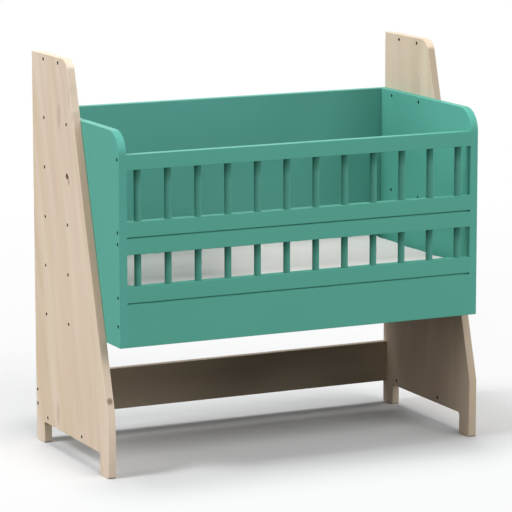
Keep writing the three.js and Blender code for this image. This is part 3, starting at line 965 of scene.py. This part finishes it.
# Woven cotton. The eye sees a soft, matt off-white with a very fine even weave, drawn three times
# too coarse here so that it shows from near by, and slow dimples where the foam takes up the cloth.
cotton_white = "#E2DAD8"
cotton_shade = "#DCD4D2"
thread_spacing = 0.9 * mm
cotton_dimple = 70 * mm
cotton, tree, shader = new_material(
    "woven_cotton_cover",
    Roughness=0.92,
    IOR=1.45,
    Specular_IOR_Level=0.2,
    Sheen_Weight=0.15,
    Sheen_Roughness=0.5,
)
place = add(tree, "TexCoord", {}).outputs["Object"]
threads = []
for direction in ("X", "Y"):
    threads.append(
        add(
            tree,
            "TexWave",
            {"Vector": place, "Scale": 2 * math.pi / wave_turns / thread_spacing, "Distortion": 0.3},
            wave_type="BANDS",
            bands_direction=direction,
        ).outputs["Fac"]
    )
weave = add(tree, "Math", {0: threads[0], 1: threads[1]}, operation="MAXIMUM")
dimples = add(tree, "TexNoise", {"Vector": place, "Scale": 1 / cotton_dimple, "Detail": 3})
cloth_tone = add(
    tree,
    "Mix",
    {"Factor": dimples, "A": linear(cotton_white), "B": linear(cotton_shade)},
    data_type="RGBA",
)
link(tree, cloth_tone, shader.inputs["Base Color"])
relief = add(tree, "Bump", {"Height": dimples, "Strength": 0.5, "Distance": 4 * mm})
relief = add(tree, "Bump", {"Height": weave, "Strength": 0.3, "Distance": 0.12 * mm, "Normal": relief})
link(tree, relief, shader.inputs["Normal"])

pad_low, pad_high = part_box("mattress")
bm = bmesh.new()
start_low = pad_low + Vector((mattress_shrink.x, mattress_shrink.y, 0))
start_high = pad_high - mattress_shrink
place = Matrix.Translation((start_low + start_high) / 2)
place @= Matrix.Diagonal((*(start_high - start_low), 1))
bmesh.ops.create_cube(bm, size=1, matrix=place)
bevel(bm, bm.edges[:], mattress_round, mattress_round_steps)
mattress = new_object("cotton_mattress", bm)
remesh = mattress.modifiers.new("even_cloth", "REMESH")
remesh.mode = "VOXEL"
remesh.voxel_size = remesh_size
mattress.data = bpy.data.meshes.new_from_object(
    mattress.evaluated_get(bpy.context.evaluated_depsgraph_get())
)
mattress.modifiers.clear()
resting = [vertex.co.copy() for vertex in mattress.data.vertices]

cloth = mattress.modifiers.new("filling", "CLOTH")
cloth.settings.quality = 5
cloth.settings.mass = 0.3
cloth.settings.tension_stiffness = 15
cloth.settings.compression_stiffness = 15
cloth.settings.shear_stiffness = 5
cloth.settings.bending_stiffness = 0.5
cloth.settings.use_pressure = True
cloth.settings.uniform_pressure_force = 4
cloth.settings.effector_weights.gravity = 0
cloth.collision_settings.use_collision = False
for number in range(1, cloth_frames + 1):
    bpy.context.scene.frame_set(number)
mattress.data = bpy.data.meshes.new_from_object(
    mattress.evaluated_get(bpy.context.evaluated_depsgraph_get())
)
mattress.modifiers.clear()
bpy.context.scene.frame_set(1)

# No point moves far, the cover fills the pad's length and width, and its underside lies flat.
for vertex, before in zip(mattress.data.vertices, resting):
    move = vertex.co - before
    if move.length > swell_limit:
        move = move.normalized() * swell_limit
    vertex.co = before + move
pad_middle = (pad_low + pad_high) / 2
stretch = []
for axis in range(2):
    filled = max(abs(vertex.co[axis] - pad_middle[axis]) for vertex in mattress.data.vertices)
    stretch.append((pad_high[axis] - pad_middle[axis] - side_play) / filled)
for vertex in mattress.data.vertices:
    for axis in range(2):
        vertex.co[axis] = pad_middle[axis] + (vertex.co[axis] - pad_middle[axis]) * stretch[axis]
    vertex.co.z = min(max(vertex.co.z, pad_low.z), pad_high.z + top_swell)

# Each seam of the border is a fine groove between two cuts, pulled in along its middle.
sewn = bmesh.new()
sewn.from_mesh(mattress.data)
for seam in (pad_low.z + seam_height, pad_high.z - seam_height):
    for lift in (-stitch_width / 2, 0, stitch_width / 2):
        bmesh.ops.bisect_plane(
            sewn,
            geom=sewn.verts[:] + sewn.edges[:] + sewn.faces[:],
            dist=stitch_width / 8,
            plane_co=(0, 0, seam + lift),
            plane_no=(0, 0, 1),
        )
    sewn.normal_update()
    for vert in sewn.verts:
        if abs(vert.co.z - seam) < stitch_width / 50:
            vert.co -= vert.normal * stitch_depth
for face in sewn.faces:
    face.smooth = True
sewn.to_mesh(mattress.data)
sewn.free()
mattress.data.materials.append(cotton)
finer = mattress.modifiers.new("finer_cloth", "SUBSURF")
finer.levels = 1
finer.render_levels = 1
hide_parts("mattress")
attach(mattress, "mattress")

# Studio. A pale paper floor that runs into a white backdrop, and soft, neutral lights: overhead, high
# and low on the left, from the front, low on the right and from behind. Their strengths are radiances.
camera_data = bpy.data.cameras.new("photo_camera")
camera_data.lens = 217.4
camera = bpy.data.objects.new("photo_camera", camera_data)
bpy.context.scene.collection.objects.link(camera)
camera.matrix_world = (
    Matrix.Translation((-2.9062, -6.0712, 1.6282))
    @ Matrix.Rotation(math.radians(-25.523), 4, "Z")
    @ Matrix.Rotation(math.radians(90 - 10.217), 4, "X")
    @ Matrix.Rotation(math.radians(-0.067), 4, "Z")
)
bpy.context.scene.camera = camera
bpy.context.scene.view_settings.view_transform = "Standard"

lamp_distance = 30.0
lit_middle = Vector((0, 0, 0.4))


def lamp(name, azimuth, elevation, width, height, radiance):
    """A soft box that faces the crib. Its azimuth is 0 in front and 90 on the right, and its width
    and height are the angles that it fills as the crib sees it."""
    light = bpy.data.lights.new(name, "AREA")
    light.shape = "ELLIPSE"
    light.size = 2 * lamp_distance * math.tan(math.radians(width / 2))
    light.size_y = 2 * lamp_distance * math.tan(math.radians(height / 2))
    light.energy = radiance * math.pi * (math.pi / 4 * light.size * light.size_y)
    holder = bpy.data.objects.new(name, light)
    bpy.context.scene.collection.objects.link(holder)
    turn = Matrix.Rotation(math.radians(azimuth), 4, "Z")
    turn @= Matrix.Rotation(math.radians(90 - elevation), 4, "X")
    holder.matrix_world = Matrix.Translation(lit_middle) @ turn @ Matrix.Translation((0, 0, lamp_distance))


lamp("overhead_light", 180, 80, 21, 21, 9.2)
lamp("high_left_light", 270, 48, 16, 16, 23.5)
lamp("low_left_light", 270, 10, 16, 14, 16.5)
lamp("front_left_light", 300, 10, 30, 19, 2.2)
lamp("high_front_light", 0, 48, 30, 22, 6.3)
lamp("front_right_light", 30, 29, 27, 20, 5.8)
lamp("low_right_light", 60, 10, 30, 19, 7.4)
lamp("rear_light", 165, 25, 30, 20, 3.0)


def seen_ray(tree):
    """1 for a ray from the camera, straight or by way of metal or glass, and 0 for light's own rays."""
    rays = add(tree, "LightPath", {}).outputs
    seen = add(tree, "Math", {0: rays["Is Camera Ray"], 1: rays["Is Glossy Ray"]}, operation="MAXIMUM")
    return add(tree, "Math", {0: seen, 1: rays["Is Transmission Ray"]}, operation="MAXIMUM")


background_fill = 0.05
world = bpy.data.worlds.new("studio")
bpy.context.scene.world = world
world.use_nodes = True
world.cycles.sampling_method = "NONE"  # its strength differs from ray to ray
tree = world.node_tree
strength = add(tree, "MapRange", {"Value": seen_ray(tree), "To Min": background_fill, "To Max": 1.0})
link(tree, strength, tree.nodes["Background"].inputs["Strength"])
tree.nodes["Background"].inputs["Color"].default_value = (1, 1, 1, 1)

# Matt white paper. The eye sees one pale, even tone. Away from the crib's footprint the paper glows
# white to the camera: painted light, which trims the shadow and runs into the backdrop. To the light
# that it would throw back up under the crib the paper is dark.
floor_white = "#E1E2E3"
floor_unseen = "#474747"
shadow_reach = 0.28  # the paper whitens over this distance from the crib's footprint
shadow_shift = 0.08  # the lights from the left are the stronger ones
shadow_edge = 0.05
shadow_whitening = 0.6
horizon = 3.0
floor_size = 60
bm = bmesh.new()
bmesh.ops.create_grid(bm, size=floor_size / 2)
floor = new_object("paper_floor", bm)
paper, tree, shader = new_material("white_paper", Roughness=1.0, Specular_IOR_Level=0)
paper.cycles.emission_sampling = "NONE"
seen = seen_ray(tree)
paper_tone = add(
    tree, "Mix", {"Factor": seen, "A": linear(floor_unseen), "B": linear(floor_white)}, data_type="RGBA"
)
link(tree, paper_tone, shader.inputs["Base Color"])
place = add(tree, "TexCoord", {}).outputs["Object"]
outside = add(tree, "VectorMath", {0: place, 1: (shadow_shift, 0, 0)}, operation="SUBTRACT")
outside = add(tree, "VectorMath", {0: outside}, operation="ABSOLUTE")
outside = add(
    tree, "VectorMath", {0: outside, 1: (cad_box[1][0], cad_box[1][1], 0)}, operation="SUBTRACT"
)
outside = add(tree, "VectorMath", {0: outside, 1: (0, 0, 0)}, operation="MAXIMUM")
distance = add(tree, "VectorMath", {0: outside}, operation="LENGTH").outputs["Value"]
near = add(
    tree,
    "MapRange",
    {"Value": distance, "From Min": shadow_edge, "From Max": shadow_reach, "To Max": shadow_whitening},
    interpolation_type="SMOOTHSTEP",
)
far = add(
    tree,
    "MapRange",
    {"Value": distance, "From Min": shadow_reach, "From Max": horizon, "To Max": 1 - shadow_whitening},
)
far = add(tree, "Math", {0: near, 1: far}, operation="ADD")
painted_glow_share = add(tree, "Math", {0: far, 1: seen}, operation="MULTIPLY")
# Painted light: the paper glows white to the camera, more the further it lies from the footprint.
white = add(tree, "Emission", {"Strength": 1.0})
blend = add(tree, "MixShader", {0: painted_glow_share, 1: shader.outputs["BSDF"], 2: white.outputs["Emission"]})
link(tree, blend, tree.nodes["Material Output"].inputs["Surface"])
floor.data.materials.append(paper)
